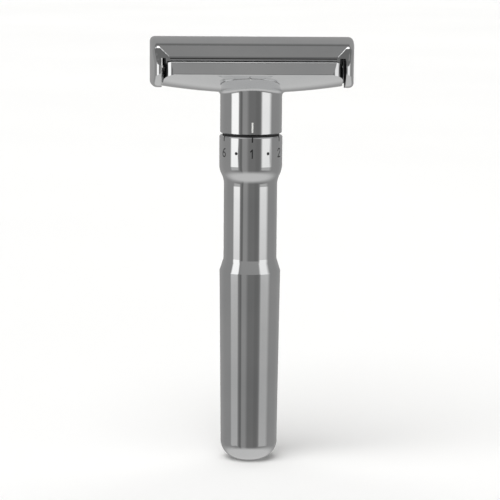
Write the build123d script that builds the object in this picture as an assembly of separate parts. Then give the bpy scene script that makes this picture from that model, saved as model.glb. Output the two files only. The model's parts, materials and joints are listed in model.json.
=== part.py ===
from build123d import *
import os
from math import asin, cos, degrees, pi, radians, sin, sqrt

# An adjustable double-edge safety razor with a push-on cap, in millimetres.
# Z runs up the handle from the middle of the butt, X runs along the blade, and the
# index line on the collar faces -Y. The dial stands at its lowest setting and the cap is on.

# Driving sizes
overall_height = 98.7
cap_length = 46.5
dial_radius = 7.25
collar_radius = 7.1
collar_draft = 0.01
neck_radius = 6.15
grip_top_radius = 7.05
grip_bottom_radius = 6.6
handle_bore_radius = 5.0
running_clearance = 0.05

# The blade, bent over its bed
blade_length = 43.0
blade_width = 22.0
blade_thickness = 0.1
blade_edge_length = 37.4
blade_tab_width = 13.0
blade_edge_height = 94.15
bend_radius = 27.0
seat_gap = 0.05
pin_spacing = 11.0
blade_slot_half_length = 16.5
blade_slot_width = 2.2
blade_hole_radius = 2.15
blade_cross_half_width = 2.4

# Heights up the handle
end_cap_top = 5.4
butt_rounding = 4.3
shoulder_height = 44.7
neck_bottom = 47.5
neck_top = 64.8
dial_bottom = 69.4
dial_top = 76.2
collar_bottom = 76.75
hanger_top = 84.3
collar_blend = 0.9

# The head
guard_half_length = 20.5
guard_end_bulge = 0.6
guard_corner = 2.8
seam_rounding = 0.35
guard_half_depth = 12.6
guard_top = 93.6
guard_end_rounding = 2.2
guard_front_bottom = 90.8
hull_bottom_middle = 85.9
hull_bottom_end = 87.5
trough_half_depth = 11.1
trough_floor = 91.2
well_half_depth = 6.2
well_half_length = 18.4
well_floor = 89.8
platform_bottom = 92.2
web_bottom = 85.6

# Inner parts
sleeve_radius = 4.0
sleeve_head_radius = 4.85
sleeve_bore_radius = 2.4
sleeve_top = 80.4
spindle_radius = 2.0
pin_radius = 1.65
clip_wire_radius = 0.35

# Cap
crown_radius = 18.0
crease_depth = 7.6
lip_depth = 10.35
lip_top = 94.7
facet_end_at_crease = 21.4
facet_end_at_lip = 18.9
facet_hollow = 0.05
facet_wall_slope = 40
cheek_inner = 20.6
cheek_half_depth = 12.2
cheek_shoulder_depth = 8.6
cheek_corner_height = 93.2
cheek_front_bottom = 90.7
cheek_taper_depth = 9.8
cheek_taper_height = 88.2
cheek_bottom = 87.6
cheek_bottom_depth = 7.2
cheek_rounding = 1.1
cap_end_bulge = 1.3
cap_blank_half_depth = 14.0
cap_corner = 1.8
crease_rounding = 1.1
tab_recess_half_length = 21.9
tab_recess_half_depth = 7.0
tab_recess_top = 96.6

# Cap pins and the groove that the spring clip rests in
cap_pin_top = 97.7
cap_pin_tip = 89.3
cap_pin_groove_radius = 1.4
clip_height = 91.8
groove_half_height = 0.45

# Platform and what hangs below it
platform_half_depth = 8.7
platform_half_length = 20.4
clip_plate_top = 91.4
clip_plate_bottom = 90.9
clip_screw_x = 16.9
clip_screw_radius = 0.6
clip_screw_head_radius = 1.1
clip_screw_top = 94.4
guide_pin_x = 5.5
guide_pin_radius = 1.0
guide_pin_bottom = 88.1
guide_pin_top = 94.2
spindle_bottom = 56.7
spindle_flange_radius = 3.2
circlip_bottom = 81.2
circlip_top = 81.6
washer_top = 82.0
screw_bottom = 87.2
screw_radius = 1.0
screw_head_radius = 1.9
screw_head_height = 1.1
screw_head_top = 95.6

# Guard, collar, sleeve and drag ring
spring_cavity_radius = 4.2
stop_recess_radius = 5.2
stop_recess_top = 77.55
stop_lug_angle = 45
drag_ring_inner = 5.3
drag_ring_outer = 6.5
drag_ring_bottom = 75.55
rib_half_width = 0.4
rib_place = 4.7
rib_inner_depth = 9.3
rib_top = 92.6
pin_pocket_radius = 2.2
pin_pocket_floor = 88.3
guide_hole_floor = 87.6

# Inside the handle
washer_thickness = 0.4
thrust_washer_bottom = 71.2
flange_bottom = thrust_washer_bottom + washer_thickness
nut_bottom = 59.2
nut_top = 67.2
spigot_top = 12.5
seal_groove_bottom = 8.6
seal_wire_radius = 0.55
stop_pin_radius = 0.5
stop_pin_circle = 4.68

# Heights outside the head, where cutters begin and end
below_head = 80.7
above_head = 105.7

# Derived from the blade's bend
blade_half_angle = blade_width / 2 / bend_radius
blade_half_depth = bend_radius * sin(blade_half_angle)
bend_centre = blade_edge_height - bend_radius * cos(blade_half_angle)
blade_inner_radius = bend_radius - blade_thickness / 2
blade_outer_radius = bend_radius + blade_thickness / 2
cap_seat_radius = blade_outer_radius + seat_gap
platform_seat_radius = blade_inner_radius - seat_gap

# Dial: six numerals, a dot between each pair and a tick above each numeral
numeral_count = 6
numeral_step = 360 / numeral_count
numeral_height = 1.9
numeral_width = 1.1
numeral_centre = 72.5
stroke_width = 0.26
engraving_depth = 0.16
index_width = 0.4
index_bottom = collar_bottom + 0.55
index_top = collar_bottom + 2.9
tick_width = 0.32
tick_height = 1.2
dot_radius = 0.36


def save(name, shape):
    """Write one sub-part, named for the piece that it is."""
    shape.label = name
    export_step(shape, f"parts/{name}.step")


def turned(outline):
    """A solid of revolution about Z from a closed outline of (radius, height) lines."""
    return revolve(make_face(Plane.XZ * outline), Axis.Z)


def turned_polygon(*points):
    return turned(Polyline(*points, close=True))


def ring(inner, outer, bottom, top):
    """A tube about Z."""
    return turned_polygon((inner, bottom), (outer, bottom), (outer, top), (inner, top))


def rod(radius, bottom, top, x=0):
    """An upright cylinder whose axis crosses X."""
    blank = Cylinder(radius, top - bottom, align=(Align.CENTER, Align.CENTER, Align.MIN))
    return Pos(x, 0, bottom) * blank


def block(x_low, x_high, y_low, y_high, z_low, z_high):
    """A box between two corners."""
    blank = Box(x_high - x_low, y_high - y_low, z_high - z_low)
    return Pos((x_low + x_high) / 2, (y_low + y_high) / 2, (z_low + z_high) / 2) * blank


def along_blade(outline, half_length):
    """Extrude a closed (y, z) outline both ways along the blade."""
    return extrude(make_face(Plane.YZ * outline), half_length, both=True)


def arc_height(radius, centre_height, y):
    """Height of an arc about a line parallel to X."""
    return centre_height + sqrt(radius**2 - y**2)


def under_arc(radius, half_depth, half_length, bottom):
    """Everything below a cylinder bent like the blade, down to a flat bottom."""
    edge = arc_height(radius, bend_centre, half_depth)
    roof = ThreePointArc((-half_depth, edge), (0, bend_centre + radius), (half_depth, edge))
    rest = Polyline((half_depth, edge), (half_depth, bottom), (-half_depth, bottom), (-half_depth, edge))
    return along_blade(roof + rest, half_length)


def bulged_plan(half_length, end_bulge, half_depth):
    """A plan view with straight long sides and gently bulging ends."""
    corner = half_length - end_bulge
    right = ThreePointArc((corner, -half_depth), (half_length, 0), (corner, half_depth))
    left = ThreePointArc((-corner, half_depth), (-half_length, 0), (-corner, -half_depth))
    front = Line((-corner, -half_depth), (corner, -half_depth))
    back = Line((corner, half_depth), (-corner, half_depth))
    return make_face(right + back + left + front)


def plan_cutter(plan):
    """A plan view as a column as high as the head."""
    return extrude(Pos(0, 0, below_head) * plan, above_head - below_head)


# Cap


def crown_height(y):
    return arc_height(crown_radius, overall_height - crown_radius, y)


def cap_end_outline():
    """The cap's end view: a crown, sloping shoulders, upright sides and a narrower bottom."""
    shoulder = (cheek_shoulder_depth, crown_height(cheek_shoulder_depth))
    side = [
        shoulder,
        (cheek_half_depth, cheek_corner_height),
        (cheek_half_depth, cheek_front_bottom),
        (cheek_taper_depth, cheek_taper_height),
        (cheek_bottom_depth, cheek_bottom),
    ]
    mirrored = [(-y, z) for y, z in reversed(side)]
    roundings = [2.6, 2.2, 2.0, 1.2]
    sides = FilletPolyline(*side, *mirrored, radius=roundings + roundings[::-1])
    crown = ThreePointArc(mirrored[-1], (0, overall_height), shoulder)
    return sides + crown


def cap_middle_section():
    """The cap's section between the cheeks: the crown, rounded creases and slightly hollow facets."""
    crease_height = crown_height(crease_depth)
    run = lip_depth - crease_depth
    drop = crease_height - lip_top
    length = sqrt(run**2 + drop**2)
    middle_depth = (crease_depth + lip_depth) / 2 - facet_hollow * drop / length
    middle_height = (crease_height + lip_top) / 2 - facet_hollow * run / length
    crown = ThreePointArc((-crease_depth, crease_height), (0, overall_height), (crease_depth, crease_height))
    front = ThreePointArc(
        (crease_depth, crease_height), (middle_depth, middle_height), (lip_depth, lip_top)
    )
    back = ThreePointArc(
        (-lip_depth, lip_top), (-middle_depth, middle_height), (-crease_depth, crease_height)
    )
    below = Polyline(
        (lip_depth, lip_top),
        (lip_depth, cheek_corner_height),
        (-lip_depth, cheek_corner_height),
        (-lip_depth, lip_top),
    )
    section = make_face(Plane.YZ * (crown + front + below + back))
    creases = [v for v in section.vertices() if abs(abs(v.Y) - crease_depth) < 0.01]
    return fillet(creases, crease_rounding)


def facet_window(side):
    """The space in front of a facet: shorter at the lip, with end walls that lean outwards."""
    crease_height = crown_height(crease_depth)
    down = Vector(0, side * (lip_depth - crease_depth), lip_top - crease_height)
    outward = Vector(0, side * (crease_height - lip_top), lip_depth - crease_depth).normalized()
    narrowing = (facet_end_at_crease - facet_end_at_lip) / down.length
    above_crease = -1.0
    outline = []
    for end in (-1, 1):
        for distance in (above_crease, down.length)[::end]:
            half_length = facet_end_at_crease - narrowing * distance
            point = Vector(0, side * crease_depth, crease_height) + down.normalized() * distance
            outline.append(point + Vector(end * half_length, 0, 0))
    face = make_face(Polyline(*outline, close=True))
    return extrude(face, cheek_half_depth / 2, dir=outward, taper=-facet_wall_slope)


def below_lip(side):
    """The space under and in front of a lip, between the cheeks."""
    lip_bottom = arc_height(cap_seat_radius, bend_centre, lip_depth)
    y_span = sorted((side * lip_depth, side * (cheek_half_depth + 2)))
    return block(-cheek_inner, cheek_inner, *y_span, below_head, lip_bottom)


def make_cap():
    body = along_blade(cap_end_outline(), cap_length)
    half_length = cap_length / 2
    bulge_past_cheek = cap_end_bulge * (cap_blank_half_depth / cheek_half_depth) ** 2
    body &= plan_cutter(bulged_plan(half_length, bulge_past_cheek, cap_blank_half_depth))
    ends = body.faces().sort_by(Axis.X)
    body = fillet(ends[0].edges() + ends[-1].edges(), cheek_rounding)
    plan = bulged_plan(half_length, cap_end_bulge, cheek_half_depth)
    body &= plan_cutter(fillet(plan.vertices(), cap_corner))
    section = extrude(cap_middle_section(), cap_length, both=True)
    for side in (-1, 1):
        body -= facet_window(side) - section
        body -= below_lip(side)
    body -= under_arc(cap_seat_radius, lip_depth + 0.5, cheek_inner, below_head)
    for side in (-1, 1):
        x_span = sorted((side * (cheek_inner - 0.3), side * tab_recess_half_length))
        y_span = (-tab_recess_half_depth, tab_recess_half_depth)
        body -= block(*x_span, *y_span, below_head, tab_recess_top)
        body -= rod(pin_radius, below_head, cap_pin_top, side * pin_spacing)
    return body


def make_cap_pin(x):
    """A pin with a groove that the spring clip rests in, and a tapered tip."""
    tip_radius = pin_radius - 0.5
    outline = Polyline(
        (0, cap_pin_tip),
        (tip_radius, cap_pin_tip),
        (pin_radius, cap_pin_tip + 0.6),
        (pin_radius, clip_height - groove_half_height),
        (cap_pin_groove_radius, clip_height - groove_half_height + 0.2),
        (cap_pin_groove_radius, clip_height + groove_half_height - 0.2),
        (pin_radius, clip_height + groove_half_height),
        (pin_radius, cap_pin_top),
        (0, cap_pin_top),
        close=True,
    )
    return Pos(x, 0, 0) * turned(outline)


# Blade


def make_blade():
    """A thin sheet bent to the bed's arc, with notched corners, a slot and three holes."""
    sheet = under_arc(blade_outer_radius, blade_half_depth, blade_length / 2, below_head)
    sheet -= under_arc(blade_inner_radius, blade_half_depth + 1, blade_length, below_head - 1)
    notch_length = (blade_length - blade_edge_length) / 2
    tab_half_width = blade_tab_width / 2
    cuts = []
    for end in (-1, 1):
        for side in (-1, 1):
            x_span = sorted((end * blade_length / 2, end * (blade_length / 2 - notch_length)))
            y_span = sorted((side * tab_half_width, side * blade_width))
            cuts.append(block(*x_span, *y_span, below_head, above_head))
    slot = SlotCenterToCenter(2 * blade_slot_half_length - blade_slot_width, blade_slot_width)
    cuts.append(plan_cutter(slot))
    for x in (-pin_spacing, 0, pin_spacing):
        cuts.append(rod(blade_hole_radius, below_head, above_head, x))
    for side in (-1, 1):
        x_span = sorted((side * blade_slot_half_length, side * (blade_slot_half_length - 1.4)))
        y_span = (-blade_cross_half_width, blade_cross_half_width)
        cuts.append(block(*x_span, *y_span, below_head, above_head))
    for cut in cuts:
        sheet -= cut
    return sheet


# Platform and what hangs below it


def make_platform():
    """The blade's bed: an arched top, with holes for the cap's pins and the screws."""
    bed = under_arc(platform_seat_radius, platform_half_depth, platform_half_length, platform_bottom)
    bed = chamfer(bed.edges().filter_by(Axis.X).group_by(Axis.Z)[0], 0.8)
    bed = fillet(bed.edges().filter_by(Axis.Z), 1.0)
    for x in (-pin_spacing, pin_spacing):
        bed -= rod(pin_radius + running_clearance, below_head, above_head, x)
    for x in (-guide_pin_x, guide_pin_x):
        bed -= rod(guide_pin_radius, below_head, guide_pin_top, x)
    for x in (-clip_screw_x, clip_screw_x):
        bed -= rod(clip_screw_radius, below_head, clip_screw_top, x)
    bed -= rod(screw_radius, below_head, above_head)
    bed -= screw_head_cone()
    bed -= rod(screw_head_radius, screw_head_top, above_head)
    return bed


def screw_head_cone():
    """The head's countersunk cone, which is also the seat cut for it."""
    return turned_polygon(
        (0, screw_head_top - screw_head_height),
        (screw_radius, screw_head_top - screw_head_height),
        (screw_head_radius, screw_head_top - 0.2),
        (screw_head_radius, screw_head_top),
        (0, screw_head_top),
    )


def make_platform_screw():
    screw = screw_head_cone() + rod(screw_radius, screw_bottom, screw_head_top - screw_head_height)
    screw -= block(-screw_head_radius, screw_head_radius, -0.25, 0.25, screw_head_top - 0.5, above_head)
    return screw


def make_spindle():
    """A flange under the bed, a long shaft, and a groove for the circlip."""
    shaft = turned_polygon(
        (0, spindle_bottom),
        (spindle_radius - 0.4, spindle_bottom),
        (spindle_radius, spindle_bottom + 0.4),
        (spindle_radius, circlip_bottom),
        (spindle_radius - 0.3, circlip_bottom),
        (spindle_radius - 0.3, circlip_top),
        (spindle_radius, circlip_top),
        (spindle_radius, clip_plate_top),
        (spindle_flange_radius, clip_plate_top),
        (spindle_flange_radius, platform_bottom),
        (0, platform_bottom),
    )
    return shaft - rod(screw_radius, screw_bottom, above_head)


def make_guide_pins():
    pins = [rod(guide_pin_radius, guide_pin_bottom, guide_pin_top, x) for x in (-guide_pin_x, guide_pin_x)]
    return Compound(children=[chamfer(pin.edges().sort_by(Axis.Z)[0], 0.2) for pin in pins])


def make_clip_plate():
    half_length = 17.9
    plate = block(-half_length, half_length, -3.4, 3.4, clip_plate_bottom, clip_plate_top)
    plate = fillet(plate.edges().filter_by(Axis.Z), 1.2)
    plate -= rod(spindle_radius, below_head, above_head)
    for side in (-1, 1):
        plate -= rod(guide_pin_radius, below_head, above_head, side * guide_pin_x)
        plate -= rod(pin_radius + 0.15, below_head, above_head, side * pin_spacing)
        plate -= rod(clip_screw_radius, below_head, above_head, side * clip_screw_x)
    return plate


def make_clip_screws():
    screws = []
    for x in (-clip_screw_x, clip_screw_x):
        screw = rod(clip_screw_head_radius, clip_plate_bottom - 0.5, clip_plate_bottom, x)
        screw += rod(clip_screw_radius, clip_plate_bottom, clip_screw_top, x)
        screw -= block(x - 1.2, x + 1.2, -0.15, 0.15, below_head, clip_plate_bottom - 0.25)
        screws.append(screw)
    return Compound(children=screws)


def make_snap_clip(side):
    """A hairpin of spring wire whose legs pass either side of a cap pin."""
    leg_offset = pin_radius + 0.03 + clip_wire_radius
    inner_end = 8.4
    bend_start = 13.4
    path = Line((inner_end, -leg_offset), (bend_start, -leg_offset))
    path += ThreePointArc((bend_start, -leg_offset), (bend_start + leg_offset, 0), (bend_start, leg_offset))
    path += Line((bend_start, leg_offset), (inner_end, leg_offset))
    start = Plane(origin=(inner_end, -leg_offset, 0), z_dir=(1, 0, 0))
    wire = sweep(start * Circle(clip_wire_radius), path)
    clip = Pos(0, 0, clip_height) * wire
    return clip if side > 0 else Rot(0, 0, 180) * clip


def make_spring_washer():
    return ring(spindle_radius, 3.7, circlip_top, washer_top)


def make_circlip():
    """An E-clip: a flat ring open on one side."""
    clip = ring(spindle_radius - 0.3, 3.0, circlip_bottom, circlip_top)
    return clip - block(0, 5, -1.1, 1.1, circlip_bottom - 1, circlip_top + 1)


# Head: guard, collar, sleeve, drag ring and spring


def hull_section(x, bottom):
    """The underside's section at x: an arc between the two front edges."""
    arc = ThreePointArc(
        (-guard_half_depth, guard_front_bottom), (0, bottom), (guard_half_depth, guard_front_bottom)
    )
    lid = Line((guard_half_depth, guard_front_bottom), (-guard_half_depth, guard_front_bottom))
    return Pos(x, 0, 0) * make_face(Plane.YZ * (arc + lid))


def make_guard_blank():
    """Both safety bars above, a boat-shaped underside below, and rounded corners."""
    sections = [
        hull_section(-guard_half_length, hull_bottom_end),
        hull_section(0, hull_bottom_middle),
        hull_section(guard_half_length, hull_bottom_end),
    ]
    lean = 0.25
    side = [
        (guard_half_depth, guard_front_bottom),
        (guard_half_depth - lean, guard_top),
        (trough_half_depth, guard_top),
        (trough_half_depth, trough_floor),
        (well_half_depth, trough_floor),
    ]
    mirrored = [(-y, z) for y, z in reversed(side)]
    outline = FilletPolyline(
        *side, *mirrored, radius=[0, 0.25, 0.25, 0.6, 0, 0, 0.6, 0.25, 0.25, 0], close=True
    )
    upper = along_blade(outline, guard_half_length)
    plan = bulged_plan(guard_half_length, guard_end_bulge, guard_half_depth)
    column = plan_cutter(fillet(plan.vertices(), guard_corner))
    front_view = FilletPolyline(
        (-guard_half_length, below_head),
        (guard_half_length, below_head),
        (guard_half_length, guard_top),
        (-guard_half_length, guard_top),
        radius=[0, 0, guard_end_rounding, guard_end_rounding],
        close=True,
    )
    ends = extrude(make_face(Plane.XZ * front_view), 2 * guard_half_depth, both=True)
    blank = (loft(sections) + upper) & column & ends
    seams = []
    for edge in blank.edges():
        box = edge.bounding_box()
        at_seam = abs(box.min.Z - guard_front_bottom) < 0.02 and box.size.Z < 0.02
        if at_seam and box.size.X > guard_half_length:
            seams.append(edge)
    return fillet(seams, seam_rounding)


def edges_across(solid, width, low, high):
    """The edges of a given width along X that lie between two heights."""
    found = []
    for edge in solid.edges():
        box = edge.bounding_box()
        if abs(box.size.X - width) < 0.1 and low < box.min.Z and box.max.Z < high:
            found.append(edge)
    return found


def make_guard():
    base = make_guard_blank()
    collar_end = well_floor - 0.1
    base += turned_polygon(
        (0, collar_bottom),
        (collar_radius - 0.2, collar_bottom),
        (collar_radius, collar_bottom + 0.2),
        (collar_radius, hanger_top),
        (collar_radius - collar_draft, collar_end),
        (0, collar_end),
    )
    base = fillet(edges_across(base, 2 * collar_radius, web_bottom, collar_end), collar_blend)
    well_spans = (-well_half_length, well_half_length, -well_half_depth, well_half_depth)
    base -= block(*well_spans, well_floor, above_head)
    for side in (-1, 1):
        for rib_x in (-rib_place, rib_place):
            x_span = (rib_x - rib_half_width, rib_x + rib_half_width)
            y_span = sorted((side * rib_inner_depth, side * (trough_half_depth + 0.2)))
            base += block(*x_span, *y_span, trough_floor - 0.3, rib_top)
        base -= rod(pin_pocket_radius, pin_pocket_floor, above_head, side * pin_spacing)
        guide_hole_radius = guide_pin_radius + running_clearance
        base -= rod(guide_hole_radius, guide_hole_floor, above_head, side * guide_pin_x)
    base -= rod(spindle_radius + running_clearance, collar_bottom - 1, above_head)
    base -= rod(spring_cavity_radius, sleeve_top, web_bottom)
    base -= rod(sleeve_radius, collar_bottom - 1, sleeve_top)
    base -= stop_recess()
    base -= index_groove()
    return base


def index_groove():
    """A short upright groove at the front of the collar, just above the dial."""
    half_width = index_width / 2
    inner = -collar_radius + engraving_depth
    return block(-half_width, half_width, -collar_radius - 1, inner, index_bottom, index_top)


def stop_recess():
    """A round recess under the collar, less the lug that the stop pin meets."""
    recess = ring(sleeve_radius, stop_recess_radius, collar_bottom - 1, stop_recess_top)
    half_angle = radians(stop_lug_angle / 2)
    across = collar_radius * sin(half_angle)
    out = collar_radius * cos(half_angle)
    wedge = make_face(Polyline((0, 0), (-across, out), (across, out), close=True))
    lug = extrude(Pos(0, 0, collar_bottom - 2) * wedge, 2 + stop_recess_top - collar_bottom)
    return recess - lug


def make_pivot_sleeve():
    """A hollow screw: the handle turns between its head and the collar."""
    head_top = thrust_washer_bottom - running_clearance
    head_bottom = head_top - 1.5
    sleeve = turned_polygon(
        (sleeve_bore_radius, head_bottom),
        (sleeve_head_radius - 0.3, head_bottom),
        (sleeve_head_radius, head_bottom + 0.3),
        (sleeve_head_radius, head_top),
        (sleeve_radius, head_top),
        (sleeve_radius, sleeve_top),
        (sleeve_bore_radius, sleeve_top),
    )
    return sleeve - block(-8, 8, -0.6, 0.6, head_bottom - 1, head_bottom + 0.7)


def make_lift_spring():
    wire_radius = 0.3
    coil_radius = 3.3
    bottom = washer_top + wire_radius + 0.05
    top = web_bottom - wire_radius - 0.05
    turns = 3
    helix = Helix(pitch=(top - bottom) / turns, height=top - bottom, radius=coil_radius)
    start = Plane(origin=helix @ 0, z_dir=helix % 0)
    return Pos(0, 0, bottom) * sweep(start * Circle(wire_radius), helix)


# Handle


def handle_outline():
    """Half the handle's outline, from the butt's seam up to the dial's rim."""
    rise = dial_radius - neck_radius
    run = dial_bottom - neck_top
    sweep_angle = 2 * asin(rise / sqrt(rise**2 + run**2))
    bend = run / 2 / sin(sweep_angle)
    half = sweep_angle / 2
    middle_height = neck_top + run / 2
    middle_radius = neck_radius + rise / 2
    lower_mid = (neck_radius + bend * (1 - cos(half)), neck_top + bend * sin(half))
    upper_mid = (dial_radius - bend * (1 - cos(half)), dial_bottom - bend * sin(half))
    grip = FilletPolyline(
        (grip_bottom_radius, end_cap_top),
        (grip_top_radius, shoulder_height),
        (neck_radius, neck_bottom),
        (neck_radius, neck_top),
        radius=[0.35, 2.5],
    )
    ogee = ThreePointArc((neck_radius, neck_top), lower_mid, (middle_radius, middle_height))
    ogee += ThreePointArc((middle_radius, middle_height), upper_mid, (dial_radius, dial_bottom))
    dial = Polyline(
        (dial_radius, dial_bottom),
        (dial_radius, dial_top - 0.25),
        (dial_radius - 0.25, dial_top),
        (drag_ring_outer + running_clearance, dial_top),
        (drag_ring_outer + running_clearance, drag_ring_bottom - running_clearance),
        (sleeve_radius + running_clearance, drag_ring_bottom - running_clearance),
        (sleeve_radius + running_clearance, flange_bottom),
        (handle_bore_radius, flange_bottom),
        (handle_bore_radius, end_cap_top),
        (grip_bottom_radius, end_cap_top),
    )
    return grip + ogee + dial


def numeral(number):
    """A plain numeral drawn with lines and three-point arcs, with rounded stroke ends."""
    strokes = {
        1: [((-0.35, 0.5), (0, 1)), ((0, 1), (0, -1))],
        2: [
            ((-0.5, 0.5), (0.05, 1), (0.45, 0.3)),
            ((0.45, 0.3), (-0.5, -1)),
            ((-0.5, -1), (0.55, -1)),
        ],
        3: [
            ((-0.45, 0.75), (0.45, 0.55), (-0.1, 0.1)),
            ((-0.1, 0.1), (0.5, -0.45), (-0.5, -0.75)),
        ],
        4: [
            ((0.25, -1), (0.25, 1)),
            ((0.25, 1), (-0.55, -0.4)),
            ((-0.55, -0.4), (0.6, -0.4)),
        ],
        5: [
            ((0.45, 1), (-0.4, 1)),
            ((-0.4, 1), (-0.45, 0.1)),
            ((-0.45, 0.1), (0.5, -0.35), (-0.5, -0.85)),
        ],
        6: [
            ((0.4, 0.95), (-0.3, 0.4), (-0.5, -0.45)),
            ((-0.5, -0.45), (0, -1), (0.5, -0.45)),
            ((0.5, -0.45), (0, 0.1), (-0.5, -0.45)),
        ],
    }
    drawn = Sketch()
    for stroke in strokes[number]:
        points = [(x * numeral_width, y * numeral_height / 2) for x, y in stroke]
        line = Line(*points) if len(points) == 2 else ThreePointArc(*points)
        drawn += trace(line, stroke_width)
        for x, y in (points[0], points[-1]):
            drawn += Pos(x, y) * Circle(stroke_width / 2)
    return drawn


def around_dial(angle, height):
    """A plane on the dial's surface, facing outwards, turned by angle from the index."""
    turn = radians(angle)
    outward = Vector(sin(turn), -cos(turn), 0)
    centre = outward * dial_radius + Vector(0, 0, height)
    return Plane(origin=centre, x_dir=Vector(cos(turn), sin(turn), 0), z_dir=outward)


def engraved(sketch, plane):
    """A cutter that sinks a flat sketch into the dial."""
    return extrude(plane * sketch, engraving_depth, both=True)


def dial_marks():
    cutters = []
    for index in range(numeral_count):
        angle = index * numeral_step
        face = around_dial(angle, numeral_centre)
        cutters.append(engraved(numeral(index + 1), face))
        tick = around_dial(angle, dial_top - 0.5)
        cutters.append(engraved(Rectangle(tick_width, tick_height), tick))
        dot = around_dial(angle + numeral_step / 2, numeral_centre)
        cutters.append(engraved(Circle(dot_radius), dot))
    return cutters


def make_handle():
    body = turned(handle_outline())
    pin_hole = rod(stop_pin_radius, flange_bottom + 1.5, dial_top, stop_pin_circle)
    body -= Rot(0, 0, stop_pin_angle()) * pin_hole
    for cutter in dial_marks():
        body -= cutter
    return body


def stop_pin_angle():
    """At rest the pin stands clear of the lug by about one degree, on its clockwise side."""
    half_pin = degrees(asin(stop_pin_radius / stop_pin_circle))
    return 90 - stop_lug_angle / 2 - half_pin - 1.2


def make_stop_pin():
    pin = rod(stop_pin_radius, flange_bottom + 1.5, stop_recess_top - 0.25, stop_pin_circle)
    return Rot(0, 0, stop_pin_angle()) * pin


def make_drive_nut():
    nut = ring(spindle_radius + running_clearance, handle_bore_radius, nut_bottom, nut_top)
    return nut - block(-8, 8, -0.7, 0.7, nut_bottom - 1, nut_bottom + 1)


def make_end_cap():
    """A domed plug with a flat at its middle, and a spigot with a groove for the seal."""
    rounding = butt_rounding
    flat = grip_bottom_radius - rounding
    diagonal = rounding * cos(pi / 4)
    arc_middle = (flat + diagonal, rounding - diagonal)
    dome = Line((0, 0), (flat, 0))
    dome += ThreePointArc((flat, 0), arc_middle, (grip_bottom_radius, rounding))
    spigot = Polyline(
        (grip_bottom_radius, rounding),
        (grip_bottom_radius, end_cap_top),
        (handle_bore_radius, end_cap_top),
        (handle_bore_radius, seal_groove_bottom),
        (handle_bore_radius - 2 * seal_wire_radius, seal_groove_bottom),
        (handle_bore_radius - 2 * seal_wire_radius, seal_groove_bottom + 2.2 * seal_wire_radius),
        (handle_bore_radius, seal_groove_bottom + 2.2 * seal_wire_radius),
        (handle_bore_radius, spigot_top - 0.5),
        (handle_bore_radius - 0.5, spigot_top),
        (0, spigot_top),
        (0, 0),
    )
    return turned(dome + spigot)


def make_end_cap_seal():
    height = seal_groove_bottom + 1.1 * seal_wire_radius
    return Pos(0, 0, height) * Torus(handle_bore_radius - seal_wire_radius, seal_wire_radius - 0.02)


os.makedirs("parts", exist_ok=True)

save("cap", make_cap())
save("cap_pin_left", make_cap_pin(-pin_spacing))
save("cap_pin_right", make_cap_pin(pin_spacing))
save("razor_blade", make_blade())
save("blade_platform", make_platform())
save("platform_screw", make_platform_screw())
save("spindle", make_spindle())
save("guide_pins", make_guide_pins())
save("clip_plate", make_clip_plate())
save("clip_screws", make_clip_screws())
save("snap_clip_left", make_snap_clip(-1))
save("snap_clip_right", make_snap_clip(1))
save("spring_washer", make_spring_washer())
save("spindle_circlip", make_circlip())
save("guard_base", make_guard())
save("pivot_sleeve", make_pivot_sleeve())
save("drag_ring", ring(drag_ring_inner, drag_ring_outer, drag_ring_bottom, collar_bottom))
save("lift_spring", make_lift_spring())
save("handle_body", make_handle())
save("stop_pin", make_stop_pin())
save("drive_nut", make_drive_nut())
save("thrust_washer", ring(sleeve_radius + 0.1, sleeve_head_radius, thrust_washer_bottom, flange_bottom))
save("end_cap", make_end_cap())
save("end_cap_seal", make_end_cap_seal())
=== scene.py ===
import json
from math import asin, atan2, cos, hypot, pi, radians, sin

import bmesh
import bpy
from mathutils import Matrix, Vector
from mathutils.geometry import delaunay_2d_cdt


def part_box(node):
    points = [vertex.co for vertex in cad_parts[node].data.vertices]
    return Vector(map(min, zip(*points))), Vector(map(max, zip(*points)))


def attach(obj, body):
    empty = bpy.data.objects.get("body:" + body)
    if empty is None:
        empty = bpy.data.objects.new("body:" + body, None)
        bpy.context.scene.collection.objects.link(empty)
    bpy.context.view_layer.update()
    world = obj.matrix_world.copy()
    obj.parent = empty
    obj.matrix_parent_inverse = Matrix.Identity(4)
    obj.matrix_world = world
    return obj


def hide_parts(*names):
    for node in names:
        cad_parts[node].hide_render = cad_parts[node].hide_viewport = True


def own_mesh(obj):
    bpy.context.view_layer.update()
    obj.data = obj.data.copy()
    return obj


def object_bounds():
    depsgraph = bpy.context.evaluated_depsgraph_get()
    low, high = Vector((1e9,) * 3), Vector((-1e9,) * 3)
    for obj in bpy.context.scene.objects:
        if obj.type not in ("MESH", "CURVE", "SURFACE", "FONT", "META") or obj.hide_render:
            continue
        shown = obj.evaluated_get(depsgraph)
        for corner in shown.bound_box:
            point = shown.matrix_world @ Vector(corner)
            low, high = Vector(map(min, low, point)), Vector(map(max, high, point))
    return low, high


# Looks for an adjustable safety razor: polished chrome outside, turned steel and brass inside,
# black paint in the dial's marks and white paint in the index line. Metres, +Z up.

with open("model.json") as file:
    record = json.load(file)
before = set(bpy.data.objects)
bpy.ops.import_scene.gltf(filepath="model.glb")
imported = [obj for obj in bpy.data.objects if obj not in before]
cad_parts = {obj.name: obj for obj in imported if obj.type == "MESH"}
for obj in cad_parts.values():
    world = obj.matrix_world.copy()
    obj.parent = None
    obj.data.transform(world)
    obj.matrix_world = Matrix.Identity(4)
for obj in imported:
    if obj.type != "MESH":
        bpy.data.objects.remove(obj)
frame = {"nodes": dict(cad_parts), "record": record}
cad_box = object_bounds()

MM = 0.001

# The camera, by the angle that it sees the razor from
CAMERA_AZIMUTH = -2.8
CAMERA_DISTANCE = 0.465
CAMERA_HEIGHT = 0.1227
CAMERA_LENS = 146
CAMERA_ROLL = 0.45

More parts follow.
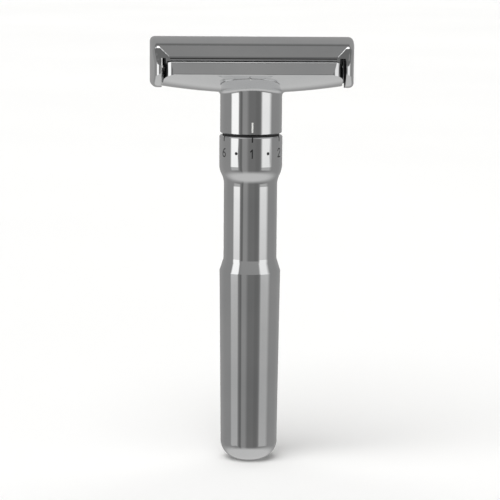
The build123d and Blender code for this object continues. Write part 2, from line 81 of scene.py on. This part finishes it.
# The head, in millimetres
BEND_CENTRE = 69.36
TROUGH_FLOOR = 91.2
WELL_FLOOR = 89.8
TROUGH_HALF_DEPTH = 11.1
WELL_HALF_DEPTH = 6.2
CAP_SEAT_RADIUS = 27.1
CHEEK_INNER = 20.6

# The marks on the dial and the collar, in millimetres
DIAL_RADIUS = 7.25
COLLAR_RADIUS = 7.1
DIAL_TOP = 76.2
COLLAR_BOTTOM = 76.75
NUMERAL_COUNT = 6
NUMERAL_STEP = 360 / NUMERAL_COUNT
NUMERAL_HEIGHT = 1.9
NUMERAL_WIDTH = 1.1
NUMERAL_CENTRE = 72.5
STROKE_WIDTH = 0.26
DOT_RADIUS = 0.36
TICK_WIDTH = 0.32
TICK_HEIGHT = 1.2
TICK_CENTRE = DIAL_TOP - 0.5
ENGRAVING_DEPTH = 0.16
PAINT_TOP = 0.05
INDEX_WIDTH = 0.4
INDEX_BOTTOM = COLLAR_BOTTOM + 0.55
INDEX_TOP = COLLAR_BOTTOM + 2.9

# How outlines that cross are joined: every triangle is asked for, and points this close are one
ALL_TRIANGLES = 0
SAME_POINT = 0.0001

# The lift spring, in metres
COIL_RADIUS = 3.3 * MM
COIL_WIRE = 0.3 * MM
COIL_TURNS = 3

# What the chrome mirrors. Angles are in degrees: azimuth 0 is in front of the razor and grows to
# the right, elevation 0 is level. Walls are a brightness, where 1 is white, and the angles that
# they fade in or out over. A panel is its first and last angle, the softness of its first and last
# edge, and its brightness.
FRONT_WALL = 0.185
SIDE_WALL = 0.30
SIDE_WALL_FADE = (20, 95)
BACK_WALL = 0.34
BACK_WALL_FADE = (110, 150)
UPPER_FRONT_WALL = 0.32
UPPER_FRONT_BOTTOM_FADE = (0, 5)
UPPER_FRONT_TOP_FADE = (40, 25)
UPPER_FRONT_SIDE_FADE = (60, 35)
CEILING = 0.17
CEILING_FADE = (43, 50)
LOWER_HALF = 0.62
LOWER_HALF_FADE = (-22, -45)
WALL_PANELS = (
    (-34, -14, 3, 7, 0.31),
    (15, 30, 4, 4, 0.165),
    (-42, -36, 2, 1.5, 0.15),
)
SOFT_BOX_HEIGHT = (-21, 40, 3, 8)
SOFT_BOX_FADE = (-13, -5)
LEFT_BOX = (-80, -49, 4, 3)
LEFT_BOX_LEVELS = (0.50, 1.22)
RIGHT_BOX = (38, 75, 5, 9)
RIGHT_BOX_LEVELS = (0.49, 1.03)
OVERHEAD_PANELS = (
    (94, 98, 1, 1, 0.28),
    (105, 124, 2, 2, 2.6),
)
OVERHEAD_HALF_WIDTH = 0.5
BACKDROP = 0.93
BACKDROP_TINT = (1.0, 0.995, 0.985)
FLOOR_RADIUS = 30.0


# Materials. Noise scales are in cells per metre, and bump distances in metres.


class Finish:
    """A material under construction: its nodes, with short calls for the ones used here."""

    def __init__(self, name, **sockets):
        self.material = bpy.data.materials.new(name)
        self.material.use_nodes = True
        self.nodes = self.material.node_tree.nodes
        self.links = self.material.node_tree.links
        self.shader = self.nodes["Principled BSDF"]
        self.place = self.nodes.new("ShaderNodeTexCoord").outputs["Object"]
        for socket, value in sockets.items():
            self.shader.inputs[socket.replace("_", " ")].default_value = value

    def stretched(self, scale):
        """Object coordinates in metres, multiplied along each axis."""
        mapping = self.nodes.new("ShaderNodeMapping")
        mapping.inputs["Scale"].default_value = scale
        self.links.new(self.place, mapping.inputs["Vector"])
        return mapping.outputs["Vector"]

    def noise(self, scale, detail=3.0, stretch=None):
        texture = self.nodes.new("ShaderNodeTexNoise")
        texture.inputs["Scale"].default_value = scale
        texture.inputs["Detail"].default_value = detail
        source = self.stretched(stretch) if stretch else self.place
        self.links.new(source, texture.inputs["Vector"])
        return texture.outputs["Fac"]

    def spread(self, factor, low, high, start=0.3, end=0.7):
        """Maps the middle of a noise onto a range."""
        ranged = self.nodes.new("ShaderNodeMapRange")
        for socket, value in (("From Min", start), ("From Max", end), ("To Min", low), ("To Max", high)):
            ranged.inputs[socket].default_value = value
        self.links.new(factor, ranged.inputs["Value"])
        return ranged.outputs["Result"]

    def between(self, factor, first, second):
        """A colour between two others, each of which is fixed or varies."""
        mix = self.nodes.new("ShaderNodeMix")
        mix.data_type = "RGBA"
        self.links.new(factor, mix.inputs["Factor"])
        for socket, colour in (("A", first), ("B", second)):
            if isinstance(colour, tuple):
                mix.inputs[socket].default_value = (*colour, 1)
            else:
                self.links.new(colour, mix.inputs[socket])
        return mix.outputs["Result"]

    def axes(self):
        """The place on the piece along X, Y and Z."""
        split = self.nodes.new("ShaderNodeSeparateXYZ")
        self.links.new(self.place, split.inputs["Vector"])
        return split.outputs["X"], split.outputs["Y"], split.outputs["Z"]

    def above(self, value, limit):
        """1 where a length is over a limit in millimetres."""
        return self.math("GREATER_THAN", value, limit * MM)

    def below(self, value, limit):
        """1 where a length is under a limit in millimetres."""
        return self.math("LESS_THAN", value, limit * MM)

    def math(self, operation, first, second=0.0):
        node = self.nodes.new("ShaderNodeMath")
        node.operation = operation
        for socket, value in zip(node.inputs, (first, second)):
            if isinstance(value, float):
                socket.default_value = value
            else:
                self.links.new(value, socket)
        return node.outputs["Value"]

    def bump(self, height, strength, distance, below=None):
        node = self.nodes.new("ShaderNodeBump")
        node.inputs["Strength"].default_value = strength
        node.inputs["Distance"].default_value = distance
        self.links.new(height, node.inputs["Height"])
        if below:
            self.links.new(below, node.inputs["Normal"])
        return node.outputs["Normal"]

    def wear(self, colour=None, roughness=None, normal=None):
        """Joins what varies over the surface to the shader."""
        for socket, source in (("Base Color", colour), ("Roughness", roughness), ("Normal", normal)):
            if source:
                self.links.new(source, self.shader.inputs[socket])
        return self.material


def polished_chrome(name="polished_chrome", painted_shade_area=None):
    """Mirror plate with a faint haze, wiping marks and the slow ripple of a buffed surface.

    Faces in the trough and under the cap are left rougher, and their colour is painted darker as shade: the
    mask function passed in says where they are.
    """
    finish = Finish(name, Metallic=1.0)
    haze = finish.noise(260, 5.0)
    wiping = finish.noise(1.0, 4.0, stretch=(2600, 2600, 160))
    grime = finish.noise(70, 6.0)
    colour = finish.between(finish.spread(grime, 0.0, 1.0), (0.70, 0.71, 0.72), (0.78, 0.785, 0.79))
    uneven = finish.math("ADD", finish.spread(haze, 0.0, 0.035), finish.spread(wiping, 0.02, 0.045))
    if painted_shade_area:
        painted_shade_mask = painted_shade_area(finish)
        # Painted shade: here the chrome's colour is darkened far below its own, where shade falls in the
        # recess; the added roughness is real
        painted_shade_colour = finish.between(finish.spread(haze, 0.0, 1.0), (0.09, 0.09, 0.092), (0.16, 0.16, 0.162))
        colour = finish.between(painted_shade_mask, colour, painted_shade_colour)
        uneven = finish.math("ADD", uneven, finish.math("MULTIPLY", painted_shade_mask, 0.38))
    ripple = finish.bump(finish.noise(150, 2.0), 0.25, 0.00002)
    scuffs = finish.bump(wiping, 0.12, 0.000004, below=ripple)
    return finish.wear(colour, uneven, scuffs)


def inside_trough(finish):
    """The guard's trough and the well in its floor, where the chrome's colour is painted dark as shade."""
    _, y, z = finish.axes()
    depth = finish.math("ABSOLUTE", y)
    between_bars = finish.below(depth, TROUGH_HALF_DEPTH + 0.05)
    in_trough = finish.math("MULTIPLY", between_bars, finish.above(z, TROUGH_FLOOR - 0.1))
    between_walls = finish.below(depth, WELL_HALF_DEPTH + 0.05)
    in_well = finish.math("MULTIPLY", between_walls, finish.above(z, WELL_FLOOR - 0.1))
    return finish.math("MAXIMUM", in_trough, in_well)


def under_cap(finish):
    """The cap's arched underside and the inner faces of its cheeks, where the chrome's colour is painted
    dark as shade.
    """
    x, y, z = finish.axes()
    height = finish.math("SUBTRACT", z, BEND_CENTRE * MM)
    squares = [finish.math("MULTIPLY", value, value) for value in (y, height)]
    reach = finish.math("SQRT", finish.math("ADD", *squares))
    under_arch = finish.below(reach, CAP_SEAT_RADIUS + 0.08)
    between_cheeks = finish.below(finish.math("ABSOLUTE", x), CHEEK_INNER + 0.1)
    return finish.math("MULTIPLY", under_arch, between_cheeks)


def turned_steel():
    """Bare stainless steel with the fine rings that a lathe leaves."""
    finish = Finish("turned_steel", Metallic=1.0)
    rings = finish.noise(1.0, 3.0, stretch=(300, 300, 9000))
    patches = finish.noise(400, 4.0)
    colour = finish.between(finish.spread(patches, 0.0, 1.0), (0.50, 0.50, 0.51), (0.64, 0.64, 0.65))
    rough = finish.spread(rings, 0.22, 0.38)
    return finish.wear(colour, rough, finish.bump(rings, 0.4, 0.00001))


def spring_steel():
    """Drawn spring steel, darker, with marks along its length."""
    finish = Finish("spring_steel", Metallic=1.0)
    drawn = finish.noise(1.0, 3.0, stretch=(600, 5000, 5000))
    colour = finish.between(finish.spread(drawn, 0.0, 1.0), (0.36, 0.36, 0.38), (0.52, 0.52, 0.54))
    rough = finish.spread(finish.noise(900, 3.0), 0.25, 0.42)
    return finish.wear(colour, rough, finish.bump(drawn, 0.3, 0.000008))


def blade_steel():
    """Rolled strip with its grain along the blade, and brighter bands where it was honed."""
    finish = Finish("blade_steel", Metallic=1.0)
    grain = finish.noise(1.0, 4.0, stretch=(180, 6500, 6500))
    _, y, _ = finish.axes()
    from_middle = finish.math("ABSOLUTE", y)
    honed = finish.spread(from_middle, 0.0, 1.0, start=0.00985, end=0.0100)
    rolled = finish.between(finish.spread(grain, 0.0, 1.0), (0.52, 0.53, 0.55), (0.66, 0.67, 0.69))
    colour = finish.between(honed, rolled, (0.80, 0.81, 0.83))
    smoother = finish.math("MULTIPLY", honed, -0.12)
    rough = finish.math("ADD", finish.spread(grain, 0.26, 0.36), smoother)
    return finish.wear(colour, rough, finish.bump(grain, 0.3, 0.000005))


def turned_brass():
    finish = Finish("turned_brass", Metallic=1.0)
    rings = finish.noise(1.0, 3.0, stretch=(300, 300, 8000))
    tarnish = finish.noise(350, 5.0)
    colour = finish.between(finish.spread(tarnish, 0.0, 1.0), (0.60, 0.45, 0.20), (0.80, 0.64, 0.34))
    rough = finish.spread(rings, 0.22, 0.40)
    return finish.wear(colour, rough, finish.bump(rings, 0.4, 0.00001))


def matt_black():
    """The friction ring: matt black with worn, slightly shinier patches."""
    finish = Finish("matt_black", IOR=1.5)
    speckle = finish.noise(2600, 2.0)
    worn = finish.noise(500, 3.0)
    colour = finish.between(finish.spread(worn, 0.0, 1.0), (0.012, 0.012, 0.013), (0.030, 0.030, 0.032))
    return finish.wear(colour, finish.spread(worn, 0.45, 0.65), finish.bump(speckle, 0.3, 0.00002))


def white_plastic():
    finish = Finish("white_plastic", IOR=1.45)
    cloud = finish.noise(300, 3.0)
    colour = finish.between(finish.spread(cloud, 0.0, 1.0), (0.78, 0.78, 0.75), (0.87, 0.87, 0.85))
    pores = finish.noise(3000, 2.0)
    return finish.wear(colour, finish.spread(cloud, 0.35, 0.5), finish.bump(pores, 0.2, 0.00001))


def black_rubber():
    finish = Finish("black_rubber", IOR=1.5)
    bloom = finish.noise(450, 4.0)
    colour = finish.between(finish.spread(bloom, 0.0, 1.0), (0.018, 0.018, 0.018), (0.045, 0.045, 0.045))
    pores = finish.noise(4000, 2.0)
    return finish.wear(colour, finish.spread(bloom, 0.55, 0.75), finish.bump(pores, 0.3, 0.00001))


def enamel(name, dark, light):
    """Paint run into the engraving: glossy, and a little uneven."""
    finish = Finish(name, IOR=1.5)
    pooled = finish.noise(2200, 3.0)
    colour = finish.between(finish.spread(pooled, 0.0, 1.0), dark, light)
    return finish.wear(colour, finish.spread(pooled, 0.25, 0.45), finish.bump(pooled, 0.2, 0.00001))


FINISHES = {
    "polished_chrome": polished_chrome(),
    "steel": turned_steel(),
    "spring_steel": spring_steel(),
    "blade_steel": blade_steel(),
    "brass": turned_brass(),
    "black_ring": matt_black(),
    "white_plastic": white_plastic(),
    "black_rubber": black_rubber(),
}
black_enamel = enamel("black_enamel", (0.008, 0.008, 0.009), (0.02, 0.02, 0.022))
white_enamel = enamel("white_enamel", (0.74, 0.74, 0.72), (0.86, 0.86, 0.84))


def dress(thing, material):
    """Gives a piece its only material."""
    thing.data.materials.clear()
    thing.data.materials.append(material)


for subpart in frame["record"]["subparts"]:
    dress(frame["nodes"][subpart["node"]], FINISHES[subpart["material_slot"]])
# The trough and the cap's underside are rougher, with painted shade darkening the chrome's colour there
dress(frame["nodes"]["guard_base"], polished_chrome("chrome_painted_shade_in_trough", inside_trough))
dress(frame["nodes"]["cap"], polished_chrome("chrome_painted_shade_under_cap", under_cap))


# Paint in the engraved marks


def arc_through(first, middle, last, steps=16):
    """Points on the circle through three points, from the first to the last by way of the middle."""
    (ax, ay), (bx, by), (cx, cy) = first, middle, last
    doubled = 2 * (ax * (by - cy) + bx * (cy - ay) + cx * (ay - by))
    a2, b2, c2 = ax**2 + ay**2, bx**2 + by**2, cx**2 + cy**2
    ox = (a2 * (by - cy) + b2 * (cy - ay) + c2 * (ay - by)) / doubled
    oy = (a2 * (cx - bx) + b2 * (ax - cx) + c2 * (bx - ax)) / doubled
    radius = hypot(ax - ox, ay - oy)
    start, through, end = (atan2(y - oy, x - ox) for x, y in (first, middle, last))
    turn = (end - start) % (2 * pi)
    if (through - start) % (2 * pi) > turn:
        turn -= 2 * pi
    angles = [start + turn * i / steps for i in range(steps + 1)]
    return [(ox + radius * cos(a), oy + radius * sin(a)) for a in angles]


def stroke_outline(points, width, cap_steps=8):
    """The outline of a line of some width with round ends."""
    half = width / 2
    headings = [atan2(q[1] - p[1], q[0] - p[0]) for p, q in zip(points, points[1:])]
    headings.append(headings[-1])
    sides = {1: [], -1: []}
    for (x, y), heading in zip(points, headings):
        for side in sides:
            sides[side].append((x - side * half * sin(heading), y + side * half * cos(heading)))
    outline = list(sides[-1])
    far_end = (points[-1], headings[-1], reversed(sides[1]))
    near_end = (points[0], headings[0] + pi, [])
    for centre, heading, other in (far_end, near_end):
        for i in range(1, cap_steps):
            angle = heading - pi / 2 + pi * i / cap_steps
            outline.append((centre[0] + half * cos(angle), centre[1] + half * sin(angle)))
        outline.extend(other)
    return outline


def plate(name, outlines, thickness):
    """A flat closed plate that covers all the outlines, in millimetres, with its top at height 0."""
    corners = [Vector(point) for outline in outlines for point in outline]
    following = iter(range(len(corners)))
    loops = [[next(following) for _ in outline] for outline in outlines]
    points, _, triangles, _, _, covers = delaunay_2d_cdt(corners, [], loops, ALL_TRIANGLES, SAME_POINT)
    inside = [triangle for triangle, cover in zip(triangles, covers) if cover]
    shape = bmesh.new()
    upper = [shape.verts.new((x, y, 0)) for x, y in points]
    lower = [shape.verts.new((x, y, -thickness)) for x, y in points]
    directed = set()
    for a, b, c in inside:
        shape.faces.new((upper[a], upper[b], upper[c]))
        shape.faces.new((lower[c], lower[b], lower[a]))
        directed.update(((a, b), (b, c), (c, a)))
    for a, b in sorted(directed):
        if (b, a) not in directed:
            shape.faces.new((upper[b], upper[a], lower[a], lower[b]))
    mesh = bpy.data.meshes.new(name)
    shape.to_mesh(mesh)
    shape.free()
    thing = bpy.data.objects.new(name, mesh)
    bpy.context.scene.collection.objects.link(thing)
    return thing


def wrap(thing, angle, height, radius):
    """Bends a flat plate round the handle, its middle at an angle from the index line."""
    for vertex in thing.data.vertices:
        across, up, depth = vertex.co
        turn = radians(angle) + asin(across / radius)
        reach = radius - PAINT_TOP + depth
        vertex.co = Vector((reach * sin(turn), -reach * cos(turn), height + up)) * MM


NUMERALS = {
    1: [((-0.35, 0.5), (0, 1)), ((0, 1), (0, -1))],
    2: [((-0.5, 0.5), (0.05, 1), (0.45, 0.3)), ((0.45, 0.3), (-0.5, -1)), ((-0.5, -1), (0.55, -1))],
    3: [((-0.45, 0.75), (0.45, 0.55), (-0.1, 0.1)), ((-0.1, 0.1), (0.5, -0.45), (-0.5, -0.75))],
    4: [((0.25, -1), (0.25, 1)), ((0.25, 1), (-0.55, -0.4)), ((-0.55, -0.4), (0.6, -0.4))],
    5: [((0.45, 1), (-0.4, 1)), ((-0.4, 1), (-0.45, 0.1)), ((-0.45, 0.1), (0.5, -0.35), (-0.5, -0.85))],
    6: [
        ((0.4, 0.95), (-0.3, 0.4), (-0.5, -0.45)),
        ((-0.5, -0.45), (0, -1), (0.5, -0.45)),
        ((0.5, -0.45), (0, 0.1), (-0.5, -0.45)),
    ],
}


def numeral_outlines(number):
    """The strokes of one numeral at its real size."""
    outlines = []
    for stroke in NUMERALS[number]:
        points = [(x * NUMERAL_WIDTH, y * NUMERAL_HEIGHT / 2) for x, y in stroke]
        line = arc_through(*points) if len(points) == 3 else points
        outlines.append(stroke_outline(line, STROKE_WIDTH))
    return outlines


def rectangle(width, height, steps=4):
    """A rectangle with points along its short sides, so that it can bend."""
    across = [width * (i / steps - 0.5) for i in range(steps + 1)]
    return [(x, -height / 2) for x in across] + [(x, height / 2) for x in reversed(across)]


def disc(radius, steps=24):
    """The outline of a round dot."""
    return [(radius * cos(2 * pi * i / steps), radius * sin(2 * pi * i / steps)) for i in range(steps)]


def paint(name, outlines, material, body, angle, height, radius):
    """Fills an engraved mark to just below the surface."""
    thing = plate(name, outlines, ENGRAVING_DEPTH - PAINT_TOP)
    wrap(thing, angle, height, radius)
    dress(thing, material)
    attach(thing, body)
    return thing


for index in range(NUMERAL_COUNT):
    angle = index * NUMERAL_STEP
    dial = ("handle", angle, NUMERAL_CENTRE, DIAL_RADIUS)
    paint(f"dial_numeral_{index + 1}", numeral_outlines(index + 1), black_enamel, *dial)
    half_way = ("handle", angle + NUMERAL_STEP / 2, NUMERAL_CENTRE, DIAL_RADIUS)
    paint(f"dial_dot_{index + 1}", [disc(DOT_RADIUS)], black_enamel, *half_way)
    edge = ("handle", angle, TICK_CENTRE - 0.05, DIAL_RADIUS)
    paint(f"dial_tick_{index + 1}", [rectangle(TICK_WIDTH, TICK_HEIGHT - 0.1)], black_enamel, *edge)

index_line = [rectangle(INDEX_WIDTH, INDEX_TOP - INDEX_BOTTOM)]
paint("index_line", index_line, white_enamel, "head", 0, (INDEX_BOTTOM + INDEX_TOP) / 2, COLLAR_RADIUS)


# The lift spring, which shortens as the dial raises the blade


def coil(name, low, high, radius, wire, turns, steps=72, sides=12):
    """A closed coil of round wire between two heights."""
    mesh = bpy.data.meshes.new(name)
    shape = bmesh.new()
    rise = high - low - 2 * wire
    lean = atan2(rise, 2 * pi * radius * turns)
    section = [(wire * cos(2 * pi * j / sides), wire * sin(2 * pi * j / sides)) for j in range(sides)]
    rings = []
    for i in range(turns * steps + 1):
        turn = 2 * pi * i / steps
        outward = Vector((cos(turn), sin(turn), 0))
        upward = Vector((sin(turn) * sin(lean), -cos(turn) * sin(lean), cos(lean)))
        centre = radius * outward + Vector((0, 0, low + wire + rise * i / (turns * steps)))
        rings.append([shape.verts.new(centre + out * outward + up * upward) for out, up in section])
    for ring, following in zip(rings, rings[1:]):
        for j in range(sides):
            k = (j + 1) % sides
            face = shape.faces.new((ring[j], ring[k], following[k], following[j]))
            face.smooth = True
    shape.faces.new(rings[0])
    shape.faces.new(rings[-1])
    bmesh.ops.recalc_face_normals(shape, faces=shape.faces)
    shape.to_mesh(mesh)
    shape.free()
    thing = bpy.data.objects.new(name, mesh)
    bpy.context.scene.collection.objects.link(thing)
    return thing


(_, _, spring_low), (_, _, spring_high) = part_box("lift_spring")
spring_coil = coil("lift_spring_coil", spring_low, spring_high, COIL_RADIUS, COIL_WIRE, COIL_TURNS)
dress(spring_coil, FINISHES["spring_steel"])
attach(spring_coil, "head")
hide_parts("lift_spring")
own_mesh(spring_coil)


# Studio


def world_light():
    """A studio round the razor: grey walls, tall soft boxes, panels overhead and a lighter room below."""
    world = bpy.data.worlds.new("studio")
    bpy.context.scene.world = world
    world.use_nodes = True
    nodes, links = world.node_tree.nodes, world.node_tree.links
    background = nodes["Background"]
    direction = nodes.new("ShaderNodeTexCoord").outputs["Generated"]
    split = nodes.new("ShaderNodeSeparateXYZ")
    links.new(direction, split.inputs["Vector"])

    def math(operation, *values):
        node = nodes.new("ShaderNodeMath")
        node.operation = operation
        for socket, value in zip(node.inputs, values):
            if isinstance(value, (int, float)):
                socket.default_value = value
            else:
                links.new(value, socket)
        return node.outputs["Value"]

    def step(value, start, end):
        """0 before start, 1 after end, smooth between them; start may be the larger."""
        node = nodes.new("ShaderNodeMapRange")
        node.interpolation_type = "SMOOTHSTEP"
        low, high = (start, end) if start < end else (end, start)
        node.inputs["From Min"].default_value = radians(low)
        node.inputs["From Max"].default_value = radians(high)
        node.inputs["To Min"].default_value = 0.0 if start < end else 1.0
        node.inputs["To Max"].default_value = 1.0 if start < end else 0.0
        links.new(value, node.inputs["Value"])
        return node.outputs["Result"]

    def over(below, painted_shade_mask, level):
        """A level laid over what is there, by a mask."""
        node = nodes.new("ShaderNodeMix")
        node.data_type = "FLOAT"
        links.new(painted_shade_mask, node.inputs["Factor"])
        for socket, value in (("A", below), ("B", level)):
            if isinstance(value, float):
                node.inputs[socket].default_value = value
            else:
                links.new(value, node.inputs[socket])
        return node.outputs["Result"]

    def window(value, start, end, blur_start, blur_end):
        """1 between two angles, with soft sides."""
        rise = step(value, start - blur_start, start + blur_start)
        fall = step(value, end + blur_end, end - blur_end)
        return math("MULTIPLY", rise, fall)

    elevation = math("ARCSINE", split.outputs["Z"])
    azimuth = math("ARCTAN2", split.outputs["X"], math("MULTIPLY", split.outputs["Y"], -1))
    aside = math("ABSOLUTE", azimuth)

    # The walls, all the way round
    level = over(FRONT_WALL, step(aside, *SIDE_WALL_FADE), SIDE_WALL)
    for *edges, brightness in WALL_PANELS:
        level = over(level, window(azimuth, *edges), brightness)
    level = over(level, step(aside, *BACK_WALL_FADE), BACK_WALL)

    # The wall over the camera, the ceiling and the room below
    front = math("MULTIPLY", step(elevation, *UPPER_FRONT_BOTTOM_FADE), step(aside, *UPPER_FRONT_SIDE_FADE))
    upper_front = math("MULTIPLY", front, step(elevation, *UPPER_FRONT_TOP_FADE))
    level = over(level, upper_front, UPPER_FRONT_WALL)
    level = over(level, step(elevation, *CEILING_FADE), CEILING)
    level = over(level, step(elevation, *LOWER_HALF_FADE), LOWER_HALF)

    # The soft boxes, dimmer towards their lower ends
    upright = window(elevation, *SOFT_BOX_HEIGHT)
    lower_fade = step(elevation, *SOFT_BOX_FADE)
    for edges, (low, high) in ((LEFT_BOX, LEFT_BOX_LEVELS), (RIGHT_BOX, RIGHT_BOX_LEVELS)):
        box = math("MULTIPLY", window(azimuth, *edges), upright)
        level = over(level, box, over(low, lower_fade, high))

    # The panels overhead, which the cap's arch mirrors, by the angle up and over from the front
    tilt = math("ARCTAN2", split.outputs["Z"], math("MULTIPLY", split.outputs["Y"], -1))
    near_middle = math("LESS_THAN", math("ABSOLUTE", split.outputs["X"]), OVERHEAD_HALF_WIDTH)
    for *edges, brightness in OVERHEAD_PANELS:
        level = over(level, math("MULTIPLY", window(tilt, *edges), near_middle), brightness)

    # The camera itself sees a plain pale backdrop
    lit = nodes.new("ShaderNodeMix")
    lit.data_type = "FLOAT"
    links.new(nodes.new("ShaderNodeLightPath").outputs["Is Camera Ray"], lit.inputs["Factor"])
    links.new(level, lit.inputs["A"])
    lit.inputs["B"].default_value = BACKDROP
    tint = nodes.new("ShaderNodeCombineColor")
    for channel, warmth in zip(("Red", "Green", "Blue"), BACKDROP_TINT):
        links.new(math("MULTIPLY", lit.outputs["Result"], warmth), tint.inputs[channel])
    links.new(tint.outputs["Color"], background.inputs["Color"])


def pale_floor():
    """Matt paper, a shade off white."""
    finish = Finish("pale_floor", Roughness=0.9, Specular_IOR_Level=0.1)
    cloud = finish.noise(3, 2.0)
    colour = finish.between(finish.spread(cloud, 0.0, 1.0), (0.86, 0.86, 0.855), (0.88, 0.88, 0.875))
    return finish.wear(colour)


def floor():
    """A wide disc that chrome doesn't mirror: the studio's own lower half stands for it there."""
    mesh = bpy.data.meshes.new("studio_floor")
    shape = bmesh.new()
    bmesh.ops.create_circle(shape, cap_ends=True, segments=128, radius=FLOOR_RADIUS)
    shape.to_mesh(mesh)
    shape.free()
    thing = bpy.data.objects.new("studio_floor", mesh)
    bpy.context.scene.collection.objects.link(thing)
    dress(thing, pale_floor())
    thing.visible_glossy = False


def soft_sun(name, azimuth, elevation, strength, size):
    """A broad even light that fills the floor; the chrome mirrors the studio and not this."""
    light = bpy.data.lights.new(name, "SUN")
    light.energy = strength
    light.angle = radians(size)
    thing = bpy.data.objects.new(name, light)
    thing.rotation_euler = (radians(90 - elevation), 0, radians(azimuth))
    thing.visible_glossy = False
    bpy.context.scene.collection.objects.link(thing)


def camera():
    """A long lens in front of the razor, a little above its middle, aimed at the middle of its box."""
    low, high = cad_box
    aim = (low + high) / 2
    turn = radians(CAMERA_AZIMUTH)
    place = Vector((CAMERA_DISTANCE * sin(turn), -CAMERA_DISTANCE * cos(turn), CAMERA_HEIGHT))
    lens = bpy.data.cameras.new("camera")
    lens.lens = CAMERA_LENS
    lens.clip_start = 0.01
    lens.clip_end = 100
    thing = bpy.data.objects.new("camera", lens)
    thing.location = place
    thing.rotation_euler = (aim - place).to_track_quat("-Z", "Y").to_euler()
    thing.rotation_euler.rotate_axis("Z", radians(CAMERA_ROLL))
    bpy.context.scene.collection.objects.link(thing)
    bpy.context.scene.camera = thing


world_light()
floor()
soft_sun("overhead_sun", azimuth=-30, elevation=62, strength=2.3, size=50)
camera()
bpy.context.scene.view_settings.view_transform = "Standard"
